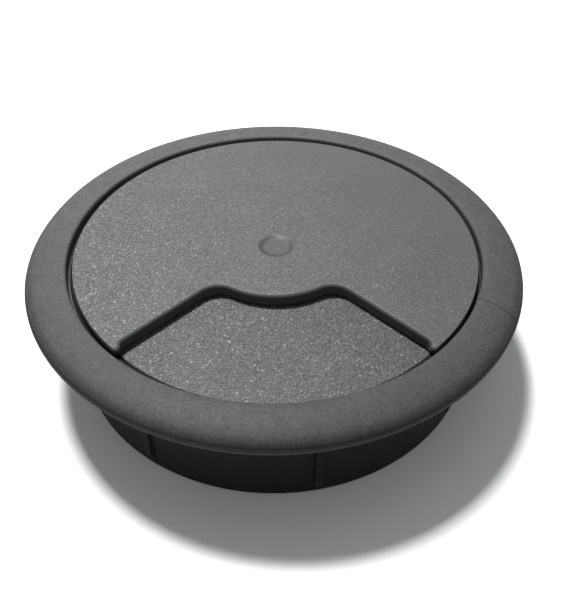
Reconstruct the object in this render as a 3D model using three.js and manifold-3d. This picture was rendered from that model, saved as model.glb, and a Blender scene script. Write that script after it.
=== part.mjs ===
// Desk grommet: the round cable outlet that lines a 60 mm hole in a desk top.
// A flanged liner drops into the hole. A loose cap lies in the liner's rim and has a wave-shaped notch
// for cables. A shutter disc with the same opening turns under the cap on its central boss, and closes
// the notch when its opening is turned to the far side. A washer and a screw hold the shutter on the boss.
//
// Millimetres, +Z up. The origin is the centre of the liner's lower rim, and the notch faces -Y.

import * as THREE from 'three';
import { mergeVertices } from 'three/addons/utils/BufferGeometryUtils.js';
import Module from 'manifold-3d';

// ---------------------------------------------------------------- driving dimensions

const ROUND = 96; // facets round the large discs
const SMALL_ROUND = 32; // facets round the boss, washer and screw
const GAP = 0.3; // clearance kept between pieces that touch
const CUT = 1; // how far a cutting solid runs past the face it cuts

// heights above the liner's lower rim
const CAP_TOP = 18;
const LIP_TOP = 18.42;
const LEDGE_Z = 16.6;
const FLANGE_UNDER = 15.5;

// liner
const FLANGE_R = 35;
const LIP_R = 29.2;
const LIP_ROUND = 0.4;
const CROWN_R = 30.2; // where the crown of the flange is highest
const CROWN_WIDTH = 4.62;
const CROWN_DROP = 1.85;
const CREASE_Z = 16.98; // the groove where the crown meets the bead
const BEAD_HEIGHT = 0.98;
const BORE_R = 27.95;
const SLEEVE_R = 29.5;
const SLEEVE_CHAMFER = 0.5;
const RIB_COUNT = 8;
const RIB_FIRST_DEG = -79; // the first crush rib, just right of the front
const RIB_WIDTH = 1.3;
const RIB_R = 30; // the ribs bring the sleeve up to the 60 mm of the desk hole
const RIB_BOTTOM = 1.6;

// cap
const CAP_R = 28.62;
const CAP_EDGE_ROUND = 0.2;
const CAP_PLATE = 1.7;
const CAP_PLUG_R = 27.65; // the thick middle of the cap, which drops into the bore
const LID_X = 0.15; // the loose lid lies a hair off centre in the liner
const DIMPLE_R = 2.65;
const DIMPLE_DEPTH = 0.28;
const BOSS_R = 3.5;
const BOSS_END = 13.4;
const PILOT_R = 1.7;
const PILOT_TOP = 17;

// notch, in the lid's own frame: a sagging middle, two shoulders, two 45 degree flanks, parallel sides
const SAG_R = 11.5;
const SAG_Y = 0.74;
const SHOULDER_R = 3.1;
const SHOULDER_X = 7.65;
const SHOULDER_Y = -11.7;
const SIDE_X = 19.3;
const CORNER_R = 0.9;
const NOTCH_END_Y = -31; // past the rim

// shutter
const SHUTTER_R = 27.7;
const SHUTTER_PLATE = 1.6;
const SKIRT_DEPTH = 1.4;
const SKIRT_WIDTH = 1.3;
const HUB_R = 7; // wider than the washer, which turns in the recess under the hub
const HUB_BOTTOM = 13.5;
const HUB_HOLE_R = 3.8;
const STIFFENER_DEGS = [180, 225, 270, 315, 360]; // radial ribs under the disc, clear of its opening
const STIFFENER_WIDTH = 1.1;

// pivot
const WASHER_R = 6;
const WASHER_HOLE_R = 1.75;
const WASHER_THICK = 0.8;
const HEAD_R = 2.8;
const HEAD_HEIGHT = 1.9;
const THREAD_R = 1.4;
const THREAD_CORE_R = 1;
const THREAD_PITCH = 1.1;
const THREAD_TURNS = 3;
const THREAD_START = 0.5; // the plain stretch of the shank under the head
const SCREW_POINT = 0.7;
const RECESS_LENGTH = 3.1;
const RECESS_WIDTH = 0.8;
const RECESS_DEPTH = 1.1;

// heights that follow from the ones above
const CAP_UNDER = CAP_TOP - CAP_PLATE;
const CAP_RIM_UNDER = LEDGE_Z + GAP;
const SHUTTER_TOP = CAP_UNDER - GAP;
const SHUTTER_UNDER = SHUTTER_TOP - SHUTTER_PLATE;
const SKIRT_UNDER = SHUTTER_UNDER - SKIRT_DEPTH;
const WASHER_TOP = BOSS_END - GAP;
const WASHER_UNDER = WASHER_TOP - WASHER_THICK;
const HEAD_TOP = WASHER_UNDER - GAP;
const HEAD_UNDER = HEAD_TOP - HEAD_HEIGHT;

const DEG = Math.PI / 180;

// ---------------------------------------------------------------- solids: joining and cutting

const wasm = await Module();
wasm.setup();

// A closed three.js geometry as a solid that can be joined and cut.
function solid(geometry) {
  const bare = geometry.index ? geometry.toNonIndexed() : geometry.clone();
  bare.deleteAttribute('normal');
  bare.deleteAttribute('uv');
  const merged = mergeVertices(bare, 1e-4);
  return new wasm.Manifold(new wasm.Mesh({
    numProp: 3,
    vertProperties: new Float32Array(merged.attributes.position.array),
    triVerts: new Uint32Array(merged.index.array),
  }));
}

function geometryOf(body) {
  const mesh = body.getMesh();
  const geometry = new THREE.BufferGeometry();
  geometry.setAttribute('position', new THREE.BufferAttribute(mesh.vertProperties, 3));
  geometry.setIndex(new THREE.BufferAttribute(mesh.triVerts, 1));
  geometry.computeVertexNormals();
  return geometry;
}

// A profile of [radius, height] points turned about Z. It starts and ends on the axis or closes on itself.
function turned(profile, facets = ROUND) {
  const points = profile.map(([r, z]) => new THREE.Vector2(r, z));
  return new THREE.LatheGeometry(points, facets).rotateX(Math.PI / 2);
}

function disc(radius, bottom, top, facets = ROUND) {
  return solid(turned([[0, bottom], [radius, bottom], [radius, top], [0, top]], facets));
}

// A flat shape raised from one height to another.
function prism(shape, bottom, top) {
  const options = { depth: top - bottom, bevelEnabled: false, curveSegments: 12 };
  return solid(new THREE.ExtrudeGeometry(shape, options).translate(0, 0, bottom));
}

// A bar that lies along a radius, from one radius to another, turned to an angle about Z.
function radialBar(fromR, toR, width, bottom, top, degrees) {
  const bar = new THREE.BoxGeometry(toR - fromR, width, top - bottom);
  bar.translate((fromR + toR) / 2, 0, (bottom + top) / 2);
  return solid(bar.rotateZ(degrees * DEG));
}

// Points on an arc of an ellipse in a profile, from one angle to another. 0 degrees is straight up.
function ellipseArc(r, z, width, height, fromDeg, toDeg, steps) {
  const points = [];
  for (let i = 0; i <= steps; i += 1) {
    const angle = (fromDeg + ((toDeg - fromDeg) * i) / steps) * DEG;
    points.push([r + width * Math.sin(angle), z + height * Math.cos(angle)]);
  }
  return points;
}

// ---------------------------------------------------------------- liner

// One moulding: the flange with its crowned top and edge bead, the ledge the cap lies on, and the sleeve.
function linerProfile() {
  const crownZ = LIP_TOP - CROWN_DROP;
  const creaseDeg = Math.acos((CREASE_Z - crownZ) / CROWN_DROP) / DEG;
  const beadHalf = BEAD_HEIGHT / 2;
  const lip = ellipseArc(LIP_R + LIP_ROUND, LIP_TOP - LIP_ROUND, LIP_ROUND, LIP_ROUND, -90, -20, 2);
  const crown = ellipseArc(CROWN_R, crownZ, CROWN_WIDTH, CROWN_DROP, 0, creaseDeg, 7);
  const bead = ellipseArc(FLANGE_R - beadHalf, CREASE_Z - beadHalf, beadHalf, beadHalf, 55, 125, 4);
  return [
    [BORE_R, SLEEVE_CHAMFER],
    [BORE_R, LEDGE_Z],
    [LIP_R, LEDGE_Z],
    ...lip,
    ...crown,
    ...bead,
    [FLANGE_R - beadHalf, FLANGE_UNDER],
    [SLEEVE_R, FLANGE_UNDER],
    [SLEEVE_R, SLEEVE_CHAMFER],
    [SLEEVE_R - SLEEVE_CHAMFER, 0],
    [BORE_R + SLEEVE_CHAMFER / 2, 0],
    [BORE_R, SLEEVE_CHAMFER],
  ].reverse();
}

// A crush rib: an upright wedge on the sleeve whose foot tapers in, so that the liner starts in its hole.
function crushRib(degrees) {
  const root = BORE_R + GAP;
  const outline = new THREE.Shape();
  outline.moveTo(root, RIB_BOTTOM - CUT);
  outline.lineTo(SLEEVE_R, RIB_BOTTOM - CUT);
  outline.lineTo(RIB_R, RIB_BOTTOM + CUT);
  outline.lineTo(RIB_R, FLANGE_UNDER + GAP);
  outline.lineTo(root, FLANGE_UNDER + GAP);
  outline.closePath();
  const rib = new THREE.ExtrudeGeometry(outline, { depth: RIB_WIDTH, bevelEnabled: false });
  rib.translate(0, 0, -RIB_WIDTH / 2);
  rib.rotateX(Math.PI / 2);
  return solid(rib.rotateZ(degrees * DEG));
}

function linerSolid() {
  let body = solid(turned(linerProfile()));
  for (let i = 0; i < RIB_COUNT; i += 1) {
    body = body.add(crushRib(RIB_FIRST_DEG + (i * 360) / RIB_COUNT));
  }
  return body;
}

// ---------------------------------------------------------------- the wave-shaped notch

// The notch's outline, let out by grow on every side. The wall beside it stays parallel to its edge.
function notchShape(grow = 0) {
  const shoulderR = SHOULDER_R + grow;
  const cornerR = CORNER_R + grow;
  const sideX = SIDE_X + grow;
  const joinDeg = Math.atan2(SAG_Y - SHOULDER_Y, -SHOULDER_X) / DEG;
  const flankSum = SHOULDER_X + SHOULDER_Y + shoulderR * Math.SQRT2;
  const cornerX = sideX - cornerR;
  const cornerY = flankSum - cornerX - cornerR * Math.SQRT2;
  const shape = new THREE.Shape();
  shape.moveTo(-sideX, NOTCH_END_Y);
  shape.lineTo(sideX, NOTCH_END_Y);
  shape.absarc(cornerX, cornerY, cornerR, 0, 45 * DEG, false);
  shape.absarc(SHOULDER_X, SHOULDER_Y, shoulderR, 45 * DEG, joinDeg * DEG, false);
  shape.absarc(0, SAG_Y, SAG_R - grow, (joinDeg - 180) * DEG, -joinDeg * DEG, true);
  shape.absarc(-SHOULDER_X, SHOULDER_Y, shoulderR, (180 - joinDeg) * DEG, 135 * DEG, false);
  shape.absarc(-cornerX, cornerY, cornerR, 135 * DEG, 180 * DEG, false);
  shape.closePath();
  return shape;
}

// ---------------------------------------------------------------- cap

// A disc with a thin rim that lies on the liner's ledge, and a shallow dimple over its central boss.
function capProfile() {
  const round = CAP_EDGE_ROUND;
  const edge = ellipseArc(CAP_R - round, CAP_TOP - round, round, round, 90, 0, 3);
  const dimple = [];
  for (let i = 0; i <= 4; i += 1) {
    const r = DIMPLE_R * (1 - i / 4);
    const depth = (DIMPLE_DEPTH * (1 + Math.cos((Math.PI * r) / DIMPLE_R))) / 2;
    dimple.push([r, CAP_TOP - depth]);
  }
  return [
    [0, CAP_UNDER],
    [CAP_PLUG_R, CAP_UNDER],
    [CAP_PLUG_R, CAP_RIM_UNDER],
    [CAP_R, CAP_RIM_UNDER],
    ...edge,
    ...dimple,
  ];
}

function capSolid() {
  return solid(turned(capProfile()))
    .add(disc(BOSS_R, BOSS_END, CAP_UNDER + GAP, SMALL_ROUND))
    .subtract(disc(PILOT_R, BOSS_END - CUT, PILOT_TOP, SMALL_ROUND))
    .subtract(prism(notchShape(), BOSS_END - CUT, CAP_TOP + CUT));
}

// ---------------------------------------------------------------- shutter

// The hollow under the disc, inside its skirt. It leaves the hub, the radial ribs and a wall along the opening.
function shutterPocket() {
  let pocket = disc(SHUTTER_R - SKIRT_WIDTH, SKIRT_UNDER - CUT, SHUTTER_UNDER)
    .subtract(prism(notchShape(SKIRT_WIDTH), SKIRT_UNDER - 2 * CUT, SHUTTER_UNDER + CUT))
    .subtract(disc(HUB_R, SKIRT_UNDER - 2 * CUT, SHUTTER_UNDER + CUT, SMALL_ROUND));
  for (const degrees of STIFFENER_DEGS) {
    const facing = degrees - 180; // the disc is drawn with its opening in front, and turned round at the end
    pocket = pocket.subtract(
      radialBar(HUB_R - CUT, SHUTTER_R, STIFFENER_WIDTH, SKIRT_UNDER - 2 * CUT, SHUTTER_UNDER + CUT, facing),
    );
  }
  return pocket;
}

function shutterSolid() {
  return disc(SHUTTER_R, SKIRT_UNDER, SHUTTER_TOP)
    .subtract(shutterPocket())
    .subtract(disc(HUB_R, SKIRT_UNDER - CUT, HUB_BOTTOM, SMALL_ROUND))
    .subtract(prism(notchShape(), SKIRT_UNDER - CUT, SHUTTER_TOP + CUT))
    .subtract(disc(HUB_HOLE_R, SKIRT_UNDER - CUT, SHUTTER_TOP + CUT, SMALL_ROUND));
}

// ---------------------------------------------------------------- pivot washer and screw

function washerSolid() {
  return disc(WASHER_R, WASHER_UNDER, WASHER_TOP, SMALL_ROUND)
    .subtract(disc(WASHER_HOLE_R, WASHER_UNDER - CUT, WASHER_TOP + CUT, SMALL_ROUND));
}

// A pan-head self-tapping screw, head down. The thread is a stack of ridges.
function screwProfile() {
  const head = ellipseArc(0, HEAD_TOP - HEAD_HEIGHT / 2, HEAD_R, HEAD_HEIGHT / 2, 180, 90, 5);
  const thread = [];
  for (let i = 0; i < THREAD_TURNS; i += 1) {
    const z = HEAD_TOP + THREAD_START + i * THREAD_PITCH;
    thread.push([THREAD_CORE_R, z]);
    thread.push([THREAD_R, z + THREAD_PITCH / 2]);
  }
  const shankEnd = HEAD_TOP + THREAD_START + THREAD_TURNS * THREAD_PITCH;
  return [
    ...head,
    [HEAD_R, HEAD_TOP],
    [THREAD_CORE_R, HEAD_TOP],
    ...thread,
    [THREAD_CORE_R, shankEnd],
    [0, shankEnd + SCREW_POINT],
  ];
}

function screwSolid() {
  let body = solid(turned(screwProfile(), SMALL_ROUND));
  for (const degrees of [45, 135]) {
    const bottom = HEAD_UNDER - CUT;
    const top = HEAD_UNDER + RECESS_DEPTH;
    body = body.subtract(radialBar(-RECESS_LENGTH / 2, RECESS_LENGTH / 2, RECESS_WIDTH, bottom, top, degrees));
  }
  return body;
}

// ---------------------------------------------------------------- assembly

const plastic = (color) => new THREE.MeshStandardMaterial({ color, roughness: 0.55, metalness: 0 });
const steel = (color) => new THREE.MeshStandardMaterial({ color, roughness: 0.35, metalness: 1 });

function piece(name, body, material) {
  const mesh = new THREE.Mesh(geometryOf(body), material);
  mesh.name = name;
  return mesh;
}

const cap = piece('cap', capSolid(), plastic(0x767a7a));
const shutter = piece('shutter', shutterSolid(), plastic(0x6f7373));
const washer = piece('pivot_washer', washerSolid(), steel(0xb9bbbd));
const screw = piece('pivot_screw', screwSolid(), steel(0xa9abad));
shutter.rotation.z = Math.PI; // closed: its opening lies at the back, under the cap

const lid = new THREE.Group();
lid.position.x = LID_X;
lid.add(cap, shutter, washer, screw);

const grommet = new THREE.Group();
grommet.add(piece('liner', linerSolid(), plastic(0x6b6e6e)), lid);

export default grommet;
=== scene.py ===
import math

import bmesh
import bpy
from mathutils import Matrix, Vector


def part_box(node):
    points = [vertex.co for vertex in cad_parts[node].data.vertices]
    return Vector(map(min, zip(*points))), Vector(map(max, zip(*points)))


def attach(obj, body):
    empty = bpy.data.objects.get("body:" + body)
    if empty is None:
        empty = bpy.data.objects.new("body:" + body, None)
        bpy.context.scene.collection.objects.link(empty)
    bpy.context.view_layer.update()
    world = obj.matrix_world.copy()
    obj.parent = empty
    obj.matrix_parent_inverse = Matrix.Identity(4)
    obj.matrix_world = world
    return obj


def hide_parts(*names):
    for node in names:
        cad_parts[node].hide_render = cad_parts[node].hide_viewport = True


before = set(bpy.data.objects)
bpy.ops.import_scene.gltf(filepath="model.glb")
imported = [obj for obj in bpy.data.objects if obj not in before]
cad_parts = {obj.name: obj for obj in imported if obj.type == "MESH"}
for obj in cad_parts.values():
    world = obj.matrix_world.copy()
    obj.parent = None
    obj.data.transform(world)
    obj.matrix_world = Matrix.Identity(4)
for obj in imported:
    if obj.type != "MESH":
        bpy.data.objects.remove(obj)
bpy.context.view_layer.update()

# Desk grommet: the finished surfaces of its five pieces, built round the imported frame.
# Sizes are in millimetres.

MM = 0.001


def low_high(node):
    """The lowest and highest corners of a CAD node in millimetres."""
    low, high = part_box(node)
    return low / MM, high / MM


# ---------------------------------------------------------------- sizes, from the frame

_, LINER_HIGH = low_high("liner")
CAP_LOW, CAP_HIGH = low_high("cap")
SHUTTER_LOW, SHUTTER_HIGH = low_high("shutter")
WASHER_LOW, WASHER_HIGH = low_high("pivot_washer")
SCREW_LOW, SCREW_HIGH = low_high("pivot_screw")

FLANGE_R = LINER_HIGH.x
LIP_TOP = LINER_HIGH.z
CAP_TOP = CAP_HIGH.z
BOSS_END = CAP_LOW.z
SHUTTER_TOP = SHUTTER_HIGH.z
SKIRT_UNDER = SHUTTER_LOW.z
LID_X = (CAP_LOW.x + CAP_HIGH.x) / 2
CAP_R = (CAP_HIGH.x - CAP_LOW.x) / 2
SHUTTER_R = (SHUTTER_HIGH.x - SHUTTER_LOW.x) / 2
WASHER_R = (WASHER_HIGH.x - WASHER_LOW.x) / 2
HEAD_R = (SCREW_HIGH.x - SCREW_LOW.x) / 2

# ---------------------------------------------------------------- sizes of the design

# liner
LIP_R = 29.2
LIP_ROUND = 0.4
LEDGE_Z = 16.6
LAND_R = 28.9  # outside it the ledge is a narrow land, and inside it a seat
SEAT_DROP = 0.15
BORE_R = 27.95
SLEEVE_R = 29.5
FLANGE_UNDER = 15.5
CROWN_R = 30.2
CROWN_WIDTH = 4.62
CROWN_DROP = 1.85
CREASE_Z = 16.98
BEAD_HALF = 0.49
BEAD_FROM_DEG = 52
BEAD_TO_DEG = -60
BEAD_FOOT = 0.539  # how far in from the rim the bead meets the flange's underside
FLANGE_FILLET = 0.35
EDGE_ROUND = 0.12
FOOT_ROUND = 0.45
BORE_RINGS = (6.0, 11.0)  # heights of the rings up the bore
WALL_RING = 0.5  # the lip's wall has its ring this far above the ledge
UNDER_RING = 3.0  # the flange's underside has its ring this far outside the sleeve
SLEEVE_RINGS = (12.0, 8.0, 4.5)  # heights of the rings down the sleeve
RIB_COUNT = 8
RIB_FIRST_DEG = -79
RIB_HALF_WIDTH = 0.65
RIB_HEIGHT = 0.5
RIB_FLANK = 0.18
RIB_FOOT_LOW = 0.9
RIB_FOOT_HIGH = 2.8
RIB_FOOT_RINGS = (2.3, 1.8, 1.3)  # heights of the rings down a rib's sloping foot

# weld line across the flange, where the plastic's two streams met in the mould
WELD_DEG_INNER = -23.4
WELD_DEG_OUTER = -25.6
WELD_HALF_WIDTH = 0.13
WELD_DEPTH = 0.08
WELD_SHADE = 0.45
WELD_RUN_IN = 3  # the groove is at full depth a third of the way out
WELD_STEPS = 36
WELD_STEP_DEG = 0.1
WELD_MARGIN_DEG = 0.6

# cap
CAP_RIM_FILLET = 0.16
CAP_NOTCH_FILLET = 0.48
CAP_PLATE = 1.7
CAP_PLUG_R = 27.65
CAP_RIM_UNDER = 16.9
DIMPLE_R = 2.65
DIMPLE_DEPTH = 0.27
DIMPLE_RIM = 1.0
DIMPLE_MARGIN = 0.02  # the dimple's mesh starts this far outside it
GATE_X = 0.42
GATE_R = 0.32
GATE_WIDTH = 0.14
GATE_HEIGHT = 0.06
BOSS_R = 3.5
BOSS_FILLET = 0.4
PILOT_R = 1.7
PILOT_TOP = 17.0

# notch
SAG_R = 11.5
SAG_Y = 0.74
SHOULDER_R = 3.1
SHOULDER_X = 7.65
SHOULDER_Y = -11.7
SIDE_X = 19.3
CORNER_R = 0.9
TIP_R = 0.55

# shutter
SHUTTER_PLATE = 1.6
SHUTTER_FILLET = 0.25
SKIRT_WIDTH = 1.3
HUB_R = 7.0
RECESS_R = 7.05  # the washer's recess: a hair wider than the hub, so that their walls don't coincide
HUB_BOTTOM = 13.5
HUB_HOLE_R = 3.8
STIFFENER_DEGS = (0, 45, 90, 135, 180)
STIFFENER_WIDTH = 1.1

# pivot
WASHER_HOLE_R = 1.75
WASHER_ROUND = 0.15
HEAD_HEIGHT = 1.9
THREAD_CORE_R = 1.0
THREAD_R = 1.4
THREAD_PITCH = 1.1
THREAD_SHARPNESS = 3.2
THREAD_START = 0.5
THREAD_RUN_OUT = 1.2
HEAD_EDGE = 0.1
RECESS_HALF_LENGTH = 1.55
RECESS_HALF_WIDTH = 0.36
RECESS_DEPTH = 1.1

# fineness of the meshes
LINER_STEP_DEG = 1.25
RIM_STEPS = 220
CIRCLE_SIDES = 96
WASHER_SIDES = 128
SCREW_SIDES = 72
CAP_FILLET_STEPS = 6
SHUTTER_FILLET_STEPS = 4
DIMPLE_RINGS = 40
SHANK_RINGS = 60

# ---------------------------------------------------------------- outlines


def arc(cx, cy, rx, ry, from_deg, to_deg, steps):
    """Points on an arc of an ellipse, with its angles counted from +X towards +Y."""
    points = []
    for i in range(steps + 1):
        angle = math.radians(from_deg + (to_deg - from_deg) * i / steps)
        points.append((cx + rx * math.cos(angle), cy + ry * math.sin(angle)))
    return points


def lid_outline(rim_r, inset=0.0):
    """The plan of the cap or the shutter, counter-clockwise from its right-hand tip.

    The inset moves the notch's edge into the disc. The edge is made of arcs and of straight lines that
    touch them, so it stays parallel to itself.
    """
    side_x = SIDE_X + inset
    corner = CORNER_R + inset
    shoulder = SHOULDER_R + inset
    sag = SAG_R - inset
    tip_x = side_x + TIP_R
    tip_y = -math.sqrt((rim_r - TIP_R) ** 2 - tip_x**2)
    tip_deg = math.degrees(math.atan2(tip_y, tip_x))
    join_deg = math.degrees(math.atan2(SAG_Y - SHOULDER_Y, -SHOULDER_X))
    corner_x = side_x - corner
    corner_y = SHOULDER_X + SHOULDER_Y + (shoulder - corner) * math.sqrt(2) - corner_x
    return (
        arc(tip_x, tip_y, TIP_R, TIP_R, 180, 360 + tip_deg, 8)[:-1]
        + arc(0, 0, rim_r, rim_r, tip_deg, 180 - tip_deg, RIM_STEPS)[:-1]
        + arc(-tip_x, tip_y, TIP_R, TIP_R, 180 - tip_deg, 360, 8)
        + arc(-corner_x, corner_y, corner, corner, 180, 135, 8)
        + arc(-SHOULDER_X, SHOULDER_Y, shoulder, shoulder, 135, 180 - join_deg, 16)[:-1]
        + arc(0, SAG_Y, sag, sag, -join_deg, join_deg - 180, 32)[:-1]
        + arc(SHOULDER_X, SHOULDER_Y, shoulder, shoulder, join_deg, 45, 16)
        + arc(corner_x, corner_y, corner, corner, 45, 0, 8)
    )


def circle(r, count):
    """Evenly spaced points on a circle round Z."""
    angles = [2 * math.pi * i / count for i in range(count)]
    return [(r * math.cos(angle), r * math.sin(angle)) for angle in angles]


# ---------------------------------------------------------------- mesh building


class Builder:
    """Collects the rings and faces of one closed piece. Neighbouring rings are joined by quads."""

    def __init__(self):
        self.bm = bmesh.new()

    def ring(self, points):
        return [self.bm.verts.new(p) for p in points]

    def flat_ring(self, outline, z):
        return self.ring([(x, y, z) for x, y in outline])

    def join(self, rings, slot=0, closed=False):
        pairs = list(zip(rings, rings[1:]))
        if closed:
            pairs.append((rings[-1], rings[0]))
        for a, b in pairs:
            count = len(a)
            for i in range(count):
                j = (i + 1) % count
                self.bm.faces.new((a[i], a[j], b[j], b[i])).material_index = slot

    def fan(self, ring, point, slot=0):
        pole = self.bm.verts.new(point)
        for i in range(len(ring)):
            self.bm.faces.new((ring[i], ring[(i + 1) % len(ring)], pole)).material_index = slot

    def fill(self, *rings, slot=0):
        """A flat face between an outer ring and the rings of its holes."""
        edges = []
        for ring in rings:
            for i in range(len(ring)):
                edges.append(self.bm.edges.get((ring[i], ring[(i + 1) % len(ring)])))
        made = bmesh.ops.triangle_fill(self.bm, use_beauty=True, use_dissolve=False, edges=edges)
        for item in made["geom"]:
            if isinstance(item, bmesh.types.BMFace):
                item.material_index = slot

    def finish(self, name, sharp_deg=35):
        """The object, in metres, smooth but for the edges that turn by more than sharp_deg."""
        bmesh.ops.recalc_face_normals(self.bm, faces=self.bm.faces)
        for face in self.bm.faces:
            face.smooth = True
        for edge in self.bm.edges:
            if edge.calc_face_angle(0) > math.radians(sharp_deg):
                edge.smooth = False
        mesh = bpy.data.meshes.new(name)
        self.bm.to_mesh(mesh)
        self.bm.free()
        mesh.transform(Matrix.Scale(MM, 4))
        obj = bpy.data.objects.new(name, mesh)
        bpy.context.scene.collection.objects.link(obj)
        return obj


def keep_flats_flat(obj):
    """Lets the large flat faces set the shading at their rounded edges."""
    modifier = obj.modifiers.new("flat_faces", "WEIGHTED_NORMAL")
    modifier.keep_sharp = True
    modifier.weight = 100


def apply_modifiers(obj):
    """Puts the modifiers' result into the mesh."""
    bpy.context.view_layer.update()
    graph = bpy.context.evaluated_depsgraph_get()
    mesh = bpy.data.meshes.new_from_object(obj.evaluated_get(graph))
    obj.modifiers.clear()
    obj.data = mesh


def cut(obj, tool):
    """Takes the tool's volume away from the object, and removes the tool."""
    modifier = obj.modifiers.new("cut", "BOOLEAN")
    modifier.operation = "DIFFERENCE"
    modifier.solver = "EXACT"
    modifier.object = tool
    apply_modifiers(obj)
    bpy.data.objects.remove(tool)


def smooth_again(obj, sharp_deg=35):
    """Marks the sharp edges again after a cut."""
    bm = bmesh.new()
    bm.from_mesh(obj.data)
    bmesh.ops.remove_doubles(bm, verts=bm.verts, dist=1e-7)
    for face in bm.faces:
        face.smooth = True
    for edge in bm.edges:
        edge.smooth = edge.calc_face_angle(0) <= math.radians(sharp_deg)
    bm.to_mesh(obj.data)
    bm.free()


def prism(name, outline, bottom, top):
    """A plain solid over a flat outline, used for cutting."""
    b = Builder()
    low = b.flat_ring(outline, bottom)
    high = b.flat_ring(outline, top)
    b.join([low, high])
    b.fill(low)
    b.fill(high)
    return b.finish(name)


def bar(name, from_r, to_r, half_width, bottom, top, degrees):
    """A bar along a radius, turned to an angle about Z."""
    corners = [(from_r, -half_width), (to_r, -half_width), (to_r, half_width), (from_r, half_width)]
    c, s = math.cos(math.radians(degrees)), math.sin(math.radians(degrees))
    return prism(name, [(x * c - y * s, x * s + y * c) for x, y in corners], bottom, top)


# ---------------------------------------------------------------- liner

TOP, SLEEVE, SEAT, LIP_WALL = 0, 1, 2, 3  # the liner's material slots


def liner_profile():
    """Points (radius, height, slot) round the section, from the bore's foot over to the sleeve's foot."""
    crown_z = LIP_TOP - CROWN_DROP
    crease_deg = math.degrees(math.asin((CREASE_Z - crown_z) / CROWN_DROP))
    e = EDGE_ROUND
    inside = arc(BORE_R + FOOT_ROUND, FOOT_ROUND, FOOT_ROUND, FOOT_ROUND, 270, 180, 5)
    inside += [(BORE_R, z) for z in BORE_RINGS]
    seat = arc(BORE_R + e, LEDGE_Z - SEAT_DROP - e, e, e, 180, 90, 3)
    seat += [(LAND_R - e, LEDGE_Z - SEAT_DROP)]
    land = [(LAND_R, LEDGE_Z), (LIP_R - e, LEDGE_Z)]
    wall = [(LIP_R, LEDGE_Z + e), (LIP_R, LEDGE_Z + WALL_RING)]
    above = arc(LIP_R + LIP_ROUND, LIP_TOP - LIP_ROUND, LIP_ROUND, LIP_ROUND, 180, 100, 7)
    above += arc(CROWN_R, crown_z, CROWN_WIDTH, CROWN_DROP, 90, crease_deg, 26)
    bead = BEAD_HALF
    above += arc(FLANGE_R - bead, CREASE_Z - bead, bead, bead, BEAD_FROM_DEG, BEAD_TO_DEG, 12)
    f = FLANGE_FILLET
    below = (
        [(FLANGE_R - BEAD_FOOT, FLANGE_UNDER)]
        + [(SLEEVE_R + UNDER_RING, FLANGE_UNDER)]
        + arc(SLEEVE_R + f, FLANGE_UNDER - f, f, f, 90, 180, 4)
        + [(SLEEVE_R, z) for z in SLEEVE_RINGS]
        + [(SLEEVE_R, z) for z in (RIB_FOOT_HIGH, *RIB_FOOT_RINGS, RIB_FOOT_LOW)]
        + arc(SLEEVE_R - FOOT_ROUND, FOOT_ROUND, FOOT_ROUND, FOOT_ROUND, 0, -90, 5)
    )
    stretches = (
        (inside, SLEEVE),
        (seat, SEAT),
        (land, TOP),
        (wall, LIP_WALL),
        (above, TOP),
        (below, SLEEVE),
    )
    return [(r, z, slot) for points, slot in stretches for r, z in points]


def rib_angles():
    return [RIB_FIRST_DEG + i * 360 / RIB_COUNT for i in range(RIB_COUNT)]


def liner_angles():
    """Angles round the liner in degrees: evenly spaced, and closer at the ribs and the weld line."""
    angles = {round(i * LINER_STEP_DEG, 4) for i in range(round(360 / LINER_STEP_DEG))}
    half = math.degrees(RIB_HALF_WIDTH / SLEEVE_R)
    flank = math.degrees(RIB_FLANK / SLEEVE_R)
    offsets = [0, half * 0.5] + [half - flank * share for share in (1, 0.6, 0.2, 0, -1)]
    for rib in rib_angles():
        for offset in offsets:
            angles |= {round((rib + offset) % 360, 4), round((rib - offset) % 360, 4)}
    for i in range(WELD_STEPS):
        angles.add(round((WELD_DEG_INNER + WELD_MARGIN_DEG - i * WELD_STEP_DEG) % 360, 4))
    return sorted(angles)


def rib_height(degrees, z):
    """How far the sleeve stands proud at a crush rib."""
    nearest = min(abs((degrees - rib + 180) % 360 - 180) for rib in rib_angles())
    across = (RIB_HALF_WIDTH - math.radians(nearest) * SLEEVE_R) / RIB_FLANK
    along = (z - RIB_FOOT_LOW) / (RIB_FOOT_HIGH - RIB_FOOT_LOW)
    across, along = min(max(across, 0), 1), min(max(along, 0), 1)
    return RIB_HEIGHT * across * across * (3 - 2 * across) * along


def weld_depth(degrees, r):
    """The depth of the weld line's groove, which bends towards the front as it runs out over the flange."""
    out = min(1, (r - LIP_R) / (FLANGE_R - LIP_R))
    line = WELD_DEG_INNER + (WELD_DEG_OUTER - WELD_DEG_INNER) * out * out
    away = math.radians((degrees - line + 180) % 360 - 180) * r
    return WELD_DEPTH * min(1, WELD_RUN_IN * out) * math.exp(-((away / WELD_HALF_WIDTH) ** 2))


def build_liner():
    angles = liner_angles()
    b = Builder()
    profile = liner_profile()
    rings = []
    for r, z, _ in profile:
        points = []
        for degrees in angles:
            on_sleeve = r == SLEEVE_R and z < FLANGE_UNDER
            out = r + (rib_height(degrees, z) if on_sleeve else 0)
            down = weld_depth(degrees, r) if r > LIP_R else 0
            a = math.radians(degrees)
            points.append((out * math.cos(a), out * math.sin(a), z - down))
        rings.append(b.ring(points))
    for i, (_, _, slot) in enumerate(profile):
        b.join([rings[i], rings[(i + 1) % len(rings)]], slot)
    return b.finish("liner_moulding", sharp_deg=40)


# ---------------------------------------------------------------- cap

FACE, WALL = 0, 1  # the lid's material slots: its top with the rounded edge, and all the rest


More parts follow.
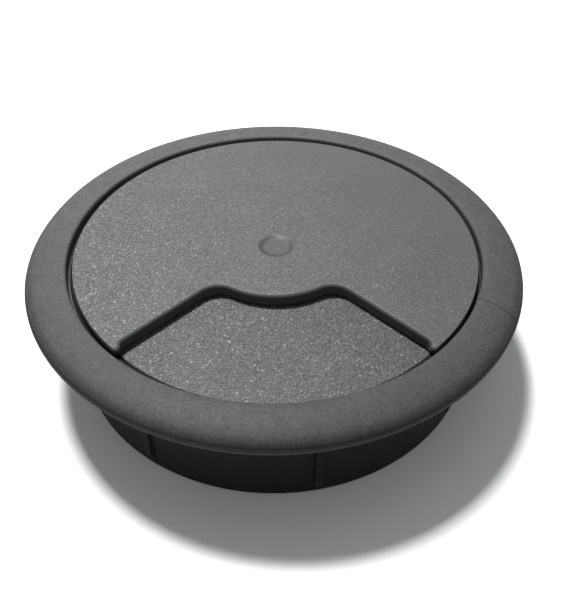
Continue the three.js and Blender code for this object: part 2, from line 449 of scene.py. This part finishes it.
def dimple_height(x, y, r):
    """The top's height in the dimple: a dish with a level floor and the ring that the mould's gate left."""
    down = min(1, (DIMPLE_R - r) / DIMPLE_RIM) if r < DIMPLE_R else 0
    dish = DIMPLE_DEPTH * down * down * (3 - 2 * down)
    from_ring = (math.hypot(x - GATE_X, y) - GATE_R) / GATE_WIDTH
    return CAP_TOP - dish + GATE_HEIGHT * down * math.exp(-from_ring * from_ring)


def cap_fillet(b):
    """The rings down the cap's rounded edge, which is finer round the rim than along the notch."""
    level = lid_outline(CAP_R - CAP_RIM_FILLET, CAP_NOTCH_FILLET)
    edge = lid_outline(CAP_R)
    rings = []
    for i in range(CAP_FILLET_STEPS + 1):
        angle = math.radians(90 * i / CAP_FILLET_STEPS)
        out = math.sin(angle)
        points = []
        for (x, y), (edge_x, edge_y) in zip(level, edge):
            fillet = min(CAP_NOTCH_FILLET, math.hypot(edge_x - x, edge_y - y))
            z = CAP_TOP - fillet * (1 - math.cos(angle))
            points.append((x + (edge_x - x) * out, y + (edge_y - y) * out, z))
        rings.append(b.ring(points))
    return rings


def cap_dimple(b):
    """The dimple's rings, from its rim in to the middle."""
    rings = []
    for i in range(DIMPLE_RINGS):
        r = (DIMPLE_R + DIMPLE_MARGIN) * (1 - i / DIMPLE_RINGS)
        rings.append(b.ring([(x, y, dimple_height(x, y, r)) for x, y in circle(r, CIRCLE_SIDES)]))
    return rings


def cap_boss(b, under):
    """The boss's rings, from its root down to its end and up the pilot hole."""
    section = arc(BOSS_R + BOSS_FILLET, under - BOSS_FILLET, BOSS_FILLET, BOSS_FILLET, 90, 180, 5)
    section += arc(BOSS_R - EDGE_ROUND, BOSS_END + EDGE_ROUND, EDGE_ROUND, EDGE_ROUND, 0, -90, 3)
    section += [(PILOT_R + EDGE_ROUND, BOSS_END), (PILOT_R, BOSS_END + EDGE_ROUND), (PILOT_R, PILOT_TOP)]
    return [b.flat_ring(circle(r, CIRCLE_SIDES), z) for r, z in section]


def build_cap():
    b = Builder()
    under = CAP_TOP - CAP_PLATE
    rings = cap_fillet(b)
    b.join(rings, FACE)
    walls = [
        rings[-1],
        b.flat_ring(lid_outline(CAP_R), CAP_RIM_UNDER + EDGE_ROUND),
        b.flat_ring(lid_outline(CAP_R - EDGE_ROUND), CAP_RIM_UNDER),
        b.flat_ring(lid_outline(CAP_PLUG_R), CAP_RIM_UNDER),
        b.flat_ring(lid_outline(CAP_PLUG_R), under + EDGE_ROUND),
        b.flat_ring(lid_outline(CAP_PLUG_R - EDGE_ROUND, EDGE_ROUND), under),
    ]
    b.join(walls, WALL)

    dimple = cap_dimple(b)
    b.join(dimple, FACE)
    b.fan(dimple[-1], (0, 0, dimple_height(0, 0, 0)), FACE)
    b.fill(rings[0], dimple[0], slot=FACE)

    boss = cap_boss(b, under)
    b.join(boss, WALL)
    b.fan(boss[-1], (0, 0, PILOT_TOP), WALL)
    b.fill(walls[-1], boss[0], slot=WALL)

    obj = b.finish("cap_moulding")
    keep_flats_flat(obj)
    obj.data.transform(Matrix.Translation((LID_X * MM, 0, 0)))
    return obj


# ---------------------------------------------------------------- shutter


def shutter_pocket():
    """The hollow under the shutter, less its hub and ribs."""
    under = SHUTTER_TOP - SHUTTER_PLATE
    low = SKIRT_UNDER - 1
    pocket = prism("pocket", lid_outline(SHUTTER_R - SKIRT_WIDTH, SKIRT_WIDTH), low, under)
    cut(pocket, prism("hub", circle(HUB_R, CIRCLE_SIDES), low - 1, under + 1))
    for degrees in STIFFENER_DEGS:
        rib = bar("rib", HUB_R - 1, SHUTTER_R, STIFFENER_WIDTH / 2, low - 1, under + 1, degrees)
        cut(pocket, rib)
    return pocket


def build_shutter():
    b = Builder()
    rings = []
    for i in range(SHUTTER_FILLET_STEPS + 1):
        angle = math.radians(90 * i / SHUTTER_FILLET_STEPS)
        inset = SHUTTER_FILLET * (1 - math.sin(angle))
        drop = SHUTTER_FILLET * (1 - math.cos(angle))
        rings.append(b.flat_ring(lid_outline(SHUTTER_R - inset, inset), SHUTTER_TOP - drop))
    b.join(rings, FACE)
    walls = [
        rings[-1],
        b.flat_ring(lid_outline(SHUTTER_R), SKIRT_UNDER + EDGE_ROUND),
        b.flat_ring(lid_outline(SHUTTER_R - EDGE_ROUND, EDGE_ROUND), SKIRT_UNDER),
    ]
    b.join(walls, WALL)
    b.fill(rings[0], slot=FACE)
    b.fill(walls[-1], slot=WALL)
    obj = b.finish("shutter_moulding")
    cut(obj, shutter_pocket())
    cut(obj, prism("recess", circle(RECESS_R, CIRCLE_SIDES), SKIRT_UNDER - 1, HUB_BOTTOM))
    cut(obj, prism("hole", circle(HUB_HOLE_R, CIRCLE_SIDES), SKIRT_UNDER - 1, SHUTTER_TOP + 1))
    smooth_again(obj)
    for face in obj.data.polygons:
        if face.center.z < (SHUTTER_TOP - SHUTTER_FILLET) * MM:
            face.material_index = WALL
    keep_flats_flat(obj)
    obj.data.transform(Matrix.Translation((LID_X * MM, 0, 0)) @ Matrix.Rotation(math.pi, 4, "Z"))
    return obj


# ---------------------------------------------------------------- washer and screw


def build_washer():
    e = WASHER_ROUND
    low, high = WASHER_LOW.z, WASHER_HIGH.z
    section = (
        arc(WASHER_R - e, high - e, e, e, 90, 0, 4)
        + arc(WASHER_R - e, low + e, e, e, 0, -90, 4)
        + arc(WASHER_HOLE_R + e, low + e, e, e, 270, 180, 4)
        + arc(WASHER_HOLE_R + e, high - e, e, e, 180, 90, 4)
    )
    b = Builder()
    b.join([b.flat_ring(circle(r, WASHER_SIDES), z) for r, z in section], closed=True)
    obj = b.finish("washer_stamping")
    obj.data.transform(Matrix.Translation((LID_X * MM, 0, 0)))
    return obj


def thread_radius(angle, z, root, tip):
    """The screw's radius on its thread: a sharp ridge that winds up the shank and runs out at both ends."""
    phase = ((z - root) / THREAD_PITCH - angle / (2 * math.pi)) % 1
    ridge = max(0, 1 - abs(phase - 0.5) * THREAD_SHARPNESS)
    start = min(1, max(0, (z - root) / THREAD_START))
    end = min(1, max(0, (tip - z) / THREAD_RUN_OUT))
    return (THREAD_CORE_R + (THREAD_R - THREAD_CORE_R) * ridge * start) * end**0.5


def build_screw():
    b = Builder()
    seat = SCREW_LOW.z + HEAD_HEIGHT
    tip = SCREW_HIGH.z
    middle = SCREW_LOW.z + HEAD_HEIGHT / 2
    head = arc(0, middle, HEAD_R, HEAD_HEIGHT / 2, -86, 0, 12)
    head += [(HEAD_R, seat - HEAD_EDGE), (HEAD_R - HEAD_EDGE, seat)]
    rings = [b.flat_ring(circle(r, SCREW_SIDES), z) for r, z in head]
    for i in range(SHANK_RINGS):
        z = seat + (tip - seat) * i / SHANK_RINGS
        points = []
        for k in range(SCREW_SIDES):
            angle = 2 * math.pi * k / SCREW_SIDES
            r = thread_radius(angle, z, seat, tip)
            points.append((r * math.cos(angle), r * math.sin(angle), z))
        rings.append(b.ring(points))
    b.join(rings)
    b.fan(rings[0], (0, 0, SCREW_LOW.z))
    b.fan(rings[-1], (0, 0, tip))
    obj = b.finish("pivot_screw_body")
    low, high = SCREW_LOW.z - 1, SCREW_LOW.z + RECESS_DEPTH
    for degrees in (45, 135):
        slot = bar("slot", -RECESS_HALF_LENGTH, RECESS_HALF_LENGTH, RECESS_HALF_WIDTH, low, high, degrees)
        cut(obj, slot)
    smooth_again(obj, 30)
    obj.data.transform(Matrix.Translation((LID_X * MM, 0, 0)))
    return obj


# ---------------------------------------------------------------- materials


class Nodes:
    """A short way to write a material's node tree."""

    def __init__(self, name):
        self.material = bpy.data.materials.new(name)
        self.material.use_nodes = True
        self.tree = self.material.node_tree
        self.shader = self.tree.nodes["Principled BSDF"]
        coords = self.tree.nodes.new("ShaderNodeTexCoord")
        self.place = coords.outputs["Object"]

    def link(self, value, socket):
        if isinstance(value, bpy.types.NodeSocket):
            self.tree.links.new(value, socket)
        else:
            socket.default_value = value

    def noise(self, per_mm, detail=2.0, roughness=0.5, stretch=(1, 1, 1)):
        scale = self.tree.nodes.new("ShaderNodeMapping")
        scale.inputs["Scale"].default_value = stretch
        self.link(self.place, scale.inputs["Vector"])
        node = self.tree.nodes.new("ShaderNodeTexNoise")
        self.link(scale.outputs[0], node.inputs["Vector"])
        node.inputs["Scale"].default_value = per_mm / MM
        node.inputs["Detail"].default_value = detail
        node.inputs["Roughness"].default_value = roughness
        return node.outputs["Fac"]

    def grains(self, per_mm):
        """A surface of small grains: a random shade for each, and the distance from its middle."""
        node = self.tree.nodes.new("ShaderNodeTexVoronoi")
        self.link(self.place, node.inputs["Vector"])
        node.inputs["Scale"].default_value = per_mm / MM
        split = self.tree.nodes.new("ShaderNodeSeparateColor")
        self.link(node.outputs["Color"], split.inputs["Color"])
        return split.outputs["Red"], node.outputs["Distance"]

    def spread(self, value, low, high, to_low, to_high):
        """Stretches a value from one range to another, and holds it at the ends."""
        node = self.tree.nodes.new("ShaderNodeMapRange")
        self.link(value, node.inputs["Value"])
        for name, number in zip(("From Min", "From Max", "To Min", "To Max"), (low, high, to_low, to_high)):
            node.inputs[name].default_value = number
        return node.outputs["Result"]

    def math(self, operation, a, b=0.0):
        node = self.tree.nodes.new("ShaderNodeMath")
        node.operation = operation
        self.link(a, node.inputs[0])
        self.link(b, node.inputs[1])
        return node.outputs[0]

    def mix(self, factor, a, b):
        node = self.tree.nodes.new("ShaderNodeMix")
        node.data_type = "RGBA"
        self.link(factor, node.inputs["Factor"])
        self.link(a, node.inputs["A"])
        self.link(b, node.inputs["B"])
        return node.outputs["Result"]

    def scaled(self, colour, gain):
        """A colour made lighter or darker by a factor."""
        node = self.tree.nodes.new("ShaderNodeVectorMath")
        node.operation = "SCALE"
        self.link(colour, node.inputs[0])
        self.link(gain, node.inputs["Scale"])
        return node.outputs["Vector"]

    def bump(self, height, depth_mm):
        node = self.tree.nodes.new("ShaderNodeBump")
        node.inputs["Distance"].default_value = depth_mm * MM
        self.link(height, node.inputs["Height"])
        return node.outputs["Normal"]

    def distance_from(self, x_mm, y_mm):
        """How far a place is from an upright line, in millimetres."""
        node = self.tree.nodes.new("ShaderNodeVectorMath")
        node.operation = "MULTIPLY_ADD"
        self.link(self.place, node.inputs[0])
        node.inputs[1].default_value = (1 / MM, 1 / MM, 0)
        node.inputs[2].default_value = (-x_mm, -y_mm, 0)
        length = self.tree.nodes.new("ShaderNodeVectorMath")
        length.operation = "LENGTH"
        self.link(node.outputs[0], length.inputs[0])
        return length.outputs["Value"]

    def part(self, vector, axis):
        node = self.tree.nodes.new("ShaderNodeSeparateXYZ")
        self.link(vector, node.inputs["Vector"])
        return node.outputs[axis]

    def height(self):
        """The place's height in millimetres."""
        return self.math("MULTIPLY", self.part(self.place, "Z"), 1 / MM)

    def along(self, x, y):
        """How far a place lies along a level direction, in millimetres from the middle."""
        node = self.tree.nodes.new("ShaderNodeVectorMath")
        node.operation = "DOT_PRODUCT"
        self.link(self.place, node.inputs[0])
        node.inputs[1].default_value = Vector((x, y, 0)).normalized() / MM
        return node.outputs["Value"]

    def painted_light_gain(self, painted_light_share, x, y):
        """Painted light: a factor that grows towards the side x, y, lightening that side and darkening the
        other.
        """
        return self.spread(self.along(x, y), -FLANGE_R, FLANGE_R, 1 - painted_light_share, 1 + painted_light_share)

    def tinted(self, value, painted_light_share, x, y):
        """A grey that drifts a little between two tints, with painted light that makes it lighter towards
        the side x, y.
        """
        drift = self.spread(self.noise(0.05, 2), 0.35, 0.65, 0, 1)
        drifting = self.mix(drift, tint(value, MILKY), tint(value, BLUISH))
        return self.scaled(drifting, self.painted_light_gain(painted_light_share, x, y))

    def set(self, **values):
        for name, value in values.items():
            self.link(value, self.shader.inputs[name.replace("_", " ")])


def tint(value, colour):
    return (value * colour[0], value * colour[1], value * colour[2], 1)


LID_GREY = 0.0655
SHUTTER_GREY = 0.057
LINER_GREY = 0.0555
# darker than the textured tops, partly the smooth finish's own tone and partly painted shade on walls and
# undersides
PLAIN_GREY = 0.039
# painted shade: the sleeve, bore and flange underside are the flange's plastic, near-black for the shade
# under the flange
SLEEVE_GREY = 0.009
# painted shade: a still darker grey for the deep gap under the cap's rim
SEAT_GREY = 0.005
MILKY = (0.97, 1.0, 0.965)
BLUISH = (0.96, 1.0, 1.0)
BROWNISH = (1.02, 1.0, 0.96)

# painted light: the side, as x and y, towards which each plastic is painted lighter, and by what share
LID_LIT_SIDE = (-1, 0.6)
LID_PAINTED_LIGHT_SHARE = 0.19
LINER_LIT_SIDE = (-0.35, 1)
LINER_PAINTED_LIGHT_SHARE = 0.3
PLAIN_LIT_SIDE = (-0.3, 1)
LIP_WALL_PAINTED_LIGHT_SHARE = 0.9

# the lid's texture, in grains to the millimetre and shades of its grey
GRAINS = 6.5
GLITTER_GRAINS = 5.5
# the glitter grains are painted glints, lightened far above the rest in the colour
GLITTER_FROM = 0.972
GLITTER_FULL = 0.985
GLITTER_GAIN = 4.5
GRAIN_REACH = 25  # its strength, a painted light gradient, changes over this far, either side of the middle
# DISH_SHADE darkens the dimple; DISH_RIM_SHADE and EDGE_SHADE are painted shade round its rim and on the
# rounded edges
DISH_SHADE = 0.9
DISH_RIM_SHADE = 0.66
EDGE_SHADE = 0.72

# where the texture starts, and where it is whole
LEVEL_START = 0.08  # below the top
LEVEL_WHOLE = 0.01
OUTSIDE_START = -0.25  # outside the dimple
OUTSIDE_WHOLE = 0.1

# painted shade down the flange's outer edge and in its crease
CROWN_DARK_FROM = 3.4
CROWN_SHADE = 0.42
CREASE_SHADE = 0.45
CREASE_DARK_TO = 0.03  # from the middle of the crease
CREASE_LIGHT_FROM = 0.16

# across the weld line, from its middle
WELD_DARK_TO = 0.04
WELD_LIGHT_FROM = WELD_HALF_WIDTH + 0.08


def spark_eroded(name, value, strongest, weakest, top):
    """The lid's spark-eroded face: fine grains of uneven shade, a few of which carry painted glints.

    Its dimple and its rounded edges below the top are smooth. The grain's contrast and its painted glints
    are painted light, stronger at the front left than at the back right.
    """
    n = Nodes(name)
    shade, middle = n.grains(GRAINS)
    glitter, _ = n.grains(GLITTER_GRAINS)
    # painted light: the grain's contrast and its painted glints grow towards the front left
    strength = n.spread(n.along(-1, -1), -GRAIN_REACH, GRAIN_REACH, weakest, strongest)
    skewed = n.math("SUBTRACT", n.math("MULTIPLY", n.math("POWER", shade, 2), 3), 1)
    # painted glints: a few grains made much lighter in the colour
    painted_glint = n.spread(glitter, GLITTER_FROM, GLITTER_FULL, 0, GLITTER_GAIN)
    level = n.spread(n.height(), top - LEVEL_START, top - LEVEL_WHOLE, 0, 1)
    from_middle = n.distance_from(LID_X, 0)
    outside = n.spread(from_middle, DIMPLE_R + OUTSIDE_START, DIMPLE_R + OUTSIDE_WHOLE, 0, 1)
    textured = n.math("MULTIPLY", level, outside)
    uneven = n.math("MULTIPLY", n.math("ADD", skewed, painted_glint), n.math("MULTIPLY", strength, textured))
    # painted shade: a darker ring round the dimple's rim
    from_rim = n.math("ABSOLUTE", n.math("SUBTRACT", from_middle, DIMPLE_R - DIMPLE_RIM / 2))
    rim = n.spread(from_rim, 0, DIMPLE_RIM / 2, DISH_RIM_SHADE, 1)
    dish = n.math("MULTIPLY", n.spread(outside, 0, 1, DISH_SHADE, 1), rim)
    # painted shade: darker on the rounded edges below the top
    edge = n.spread(n.math("MULTIPLY", n.math("SUBTRACT", 1, level), outside), 0, 1, 1, EDGE_SHADE)
    blotch = n.spread(n.noise(0.12, 3), 0.3, 0.7, 0.95, 1.05)
    smooth = n.math("MULTIPLY", blotch, n.math("MULTIPLY", dish, edge))
    n.set(
        Base_Color=n.scaled(n.tinted(value, LID_PAINTED_LIGHT_SHARE, *LID_LIT_SIDE), n.math("ADD", smooth, uneven)),
        Roughness=n.spread(shade, 0, 1, 0.45, 0.6),
        Specular_IOR_Level=0.25,
        Normal=n.bump(n.math("MULTIPLY", middle, textured), 0.03),
    )
    return n.material


def weld_shade(n, radius):
    """1 over the flange, and less along the weld line, which bends as weld_depth() says."""
    turned = n.tree.nodes.new("ShaderNodeMapping")
    n.link(n.place, turned.inputs["Vector"])
    turned.inputs["Rotation"].default_value = (0, 0, math.radians(-WELD_DEG_INNER))
    turned.inputs["Scale"].default_value = (1 / MM, 1 / MM, 1 / MM)
    out = n.math("POWER", n.spread(radius, LIP_R, FLANGE_R, 0, 1), 2)
    turn = math.radians(WELD_DEG_INNER - WELD_DEG_OUTER)
    bend = n.math("MULTIPLY", n.math("MULTIPLY", out, radius), turn)
    away = n.math("ABSOLUTE", n.math("ADD", n.part(turned.outputs[0], "Y"), bend))
    line = n.spread(away, WELD_DARK_TO, WELD_LIGHT_FROM, WELD_SHADE, 0)
    this_side = n.spread(n.part(turned.outputs[0], "X"), 0, 1, 0, 1)
    return n.math("SUBTRACT", 1, n.math("MULTIPLY", line, this_side))


def satin_plastic():
    """The flange's finer, duller face, with painted shade down its outer edge that is darkest in the
    crease.
    """
    n = Nodes("liner_satin")
    fine = n.spread(n.noise(3.0, 2, 0.6), 0.3, 0.7, -0.26, 0.26)
    mottle = n.spread(n.noise(0.5, 4, 0.6), 0.3, 0.7, -0.1, 0.1)
    even = n.math("ADD", n.math("ADD", fine, mottle), 1)
    radius = n.distance_from(0, 0)
    # painted shade: darker down the crown's outer edge, and darkest in the crease
    low = n.spread(radius, CROWN_R + CROWN_DARK_FROM, CROWN_R + CROWN_WIDTH, 1, CROWN_SHADE)
    from_crease = n.math("ABSOLUTE", n.math("SUBTRACT", n.height(), CREASE_Z - CREASE_DARK_TO))
    crease = n.spread(from_crease, CREASE_DARK_TO, CREASE_LIGHT_FROM, CREASE_SHADE, 1)
    painted_shade_and_weld_line = n.math("MULTIPLY", n.math("MULTIPLY", low, crease), weld_shade(n, radius))
    grey = n.tinted(LINER_GREY, LINER_PAINTED_LIGHT_SHARE, *LINER_LIT_SIDE)
    n.set(
        Base_Color=n.scaled(grey, n.math("MULTIPLY", even, painted_shade_and_weld_line)),
        Roughness=n.spread(n.noise(2.0, 2), 0.3, 0.7, 0.55, 0.67),
        Specular_IOR_Level=0.18,
        Normal=n.bump(n.noise(3.0, 2, 0.6), 0.012),
    )
    return n.material


def plain_plastic(name, value, specular, painted_light_share=0.0):
    """Edges, walls and undersides: the same plastic without texture, with faint draw marks down it.

    As painted light, it is lighter by the given share at the back, and as much darker at the front.
    """
    n = Nodes(name)
    drawn = n.noise(1.6, 2, 0.5, (1, 1, 0.12))
    cloud = n.spread(n.noise(0.3, 3), 0.3, 0.7, 0, 1)
    mixed = n.mix(cloud, tint(value * 0.85, BROWNISH), tint(value * 1.15, BROWNISH))
    n.set(
        Base_Color=n.scaled(mixed, n.painted_light_gain(painted_light_share, *PLAIN_LIT_SIDE)),
        Roughness=n.spread(drawn, 0.3, 0.7, 0.4, 0.55),
        Normal=n.bump(drawn, 0.02),
        Specular_IOR_Level=specular,
    )
    return n.material


def zinc_steel():
    """Bright zinc plate on the washer and screw, with faint stamping and handling marks."""
    n = Nodes("zinc_plate")
    cloud = n.spread(n.noise(0.6, 3), 0.3, 0.7, 0, 1)
    n.set(
        Base_Color=n.mix(cloud, (0.55, 0.56, 0.58, 1), (0.68, 0.68, 0.66, 1)),
        Metallic=1.0,
        Roughness=n.spread(n.noise(2.5, 3), 0.3, 0.7, 0.25, 0.42),
        Normal=n.bump(n.noise(5.0, 2), 0.01),
    )
    return n.material


def floor_material():
    n = Nodes("pale_floor")
    cloud = n.noise(0.004, 2)
    n.set(
        Base_Color=n.mix(cloud, (0.80, 0.80, 0.79, 1), (0.84, 0.84, 0.83, 1)),
        Roughness=0.9,
        Specular_IOR_Level=0.1,
    )
    return n.material


# ---------------------------------------------------------------- assembly


def place(obj, node, body, slot, *materials):
    for material in materials:
        obj.data.materials.append(material)
    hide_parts(node)
    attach(obj, body)


def build_grommet():
    # the lid's edges: a darker grey, partly painted shade
    edge = plain_plastic("lid_edge", PLAIN_GREY, specular=0.25)
    # painted shade: the sleeve's near-black grey
    sleeve = plain_plastic("liner_sleeve", SLEEVE_GREY, specular=0.1)
    # painted shade: the seat's near-black grey
    seat = plain_plastic("liner_seat", SEAT_GREY, specular=0.1)
    # painted light and shade: the lip wall's dark grey, lighter at the back and darker at the front right
    wall = plain_plastic("liner_lip_wall", PLAIN_GREY, specular=0.25, painted_light_share=LIP_WALL_PAINTED_LIGHT_SHARE)
    steel = zinc_steel()
    cap_face = spark_eroded("cap_texture", LID_GREY, strongest=0.45, weakest=0.06, top=CAP_TOP)
    shutter_face = spark_eroded(
        "shutter_texture", SHUTTER_GREY, strongest=0.56, weakest=0.36, top=SHUTTER_TOP
    )
    place(build_liner(), "liner", "liner", "liner_plastic", satin_plastic(), sleeve, seat, wall)
    place(build_cap(), "cap", "lid", "lid_plastic", cap_face, edge)
    place(build_shutter(), "shutter", "shutter", "lid_plastic", shutter_face, edge)
    place(build_washer(), "pivot_washer", "washer", "zinc_steel", steel)
    place(build_screw(), "pivot_screw", "lid", "zinc_steel", steel)


# ---------------------------------------------------------------- floor, light and camera

FLOOR_HALF = 3.0  # metres
CAMERA_AT = (1.03, -85.41, 86.22)
CAMERA_DOWN_DEG = 42.71
CAMERA_RIGHT_DEG = 0.79
CAMERA_ROLL_DEG = 0.36
CAMERA_LENS = 45.73


def build_floor():
    b = Builder()
    half = FLOOR_HALF / MM
    corners = b.flat_ring([(-half, -half), (half, -half), (half, half), (-half, half)], 0)
    b.bm.faces.new(corners)
    floor = b.finish("floor")
    floor.data.materials.append(floor_material())


def area_light(name, azimuth_deg, elevation_deg, distance, size, power):
    """A soft square light, aimed at the lid, with its distance and its size in metres.

    Its azimuth runs from straight behind towards the left.
    """
    light = bpy.data.lights.new(name, "AREA")
    light.shape = "SQUARE"
    light.size = size
    light.energy = power
    obj = bpy.data.objects.new(name, light)
    bpy.context.scene.collection.objects.link(obj)
    azimuth, elevation = math.radians(azimuth_deg), math.radians(elevation_deg)
    flat = math.cos(elevation)
    way = Vector((-math.sin(azimuth) * flat, math.cos(azimuth) * flat, math.sin(elevation)))
    obj.location = Vector((0, 0, CAP_TOP * MM)) + way * distance
    obj.rotation_euler = way.to_track_quat("Z", "Y").to_euler()
    obj.visible_camera = False


def build_light():
    area_light("key", azimuth_deg=38, elevation_deg=72, distance=1.2, size=0.16, power=18.5)
    area_light("near_key", azimuth_deg=40, elevation_deg=73, distance=0.12, size=0.016, power=0.122)
    world = bpy.data.worlds.new("studio")
    world.use_nodes = True
    background = world.node_tree.nodes["Background"]
    background.inputs["Color"].default_value = (0.9, 0.93, 0.95, 1)
    background.inputs["Strength"].default_value = 0.42
    bpy.context.scene.world = world


def build_camera():
    data = bpy.data.cameras.new("camera")
    data.lens = CAMERA_LENS
    data.clip_start = 0.005
    camera = bpy.data.objects.new("camera", data)
    bpy.context.scene.collection.objects.link(camera)
    turn = Matrix.Rotation(math.radians(-CAMERA_RIGHT_DEG), 4, "Z")
    tilt = Matrix.Rotation(math.radians(90 - CAMERA_DOWN_DEG), 4, "X")
    roll = Matrix.Rotation(math.radians(CAMERA_ROLL_DEG), 4, "Z")
    camera.matrix_world = Matrix.Translation(Vector(CAMERA_AT) * MM) @ turn @ tilt @ roll
    bpy.context.scene.camera = camera


build_camera()
build_floor()
build_light()
build_grommet()
bpy.context.scene.view_settings.view_transform = "Standard"

bpy.context.view_layer.update()
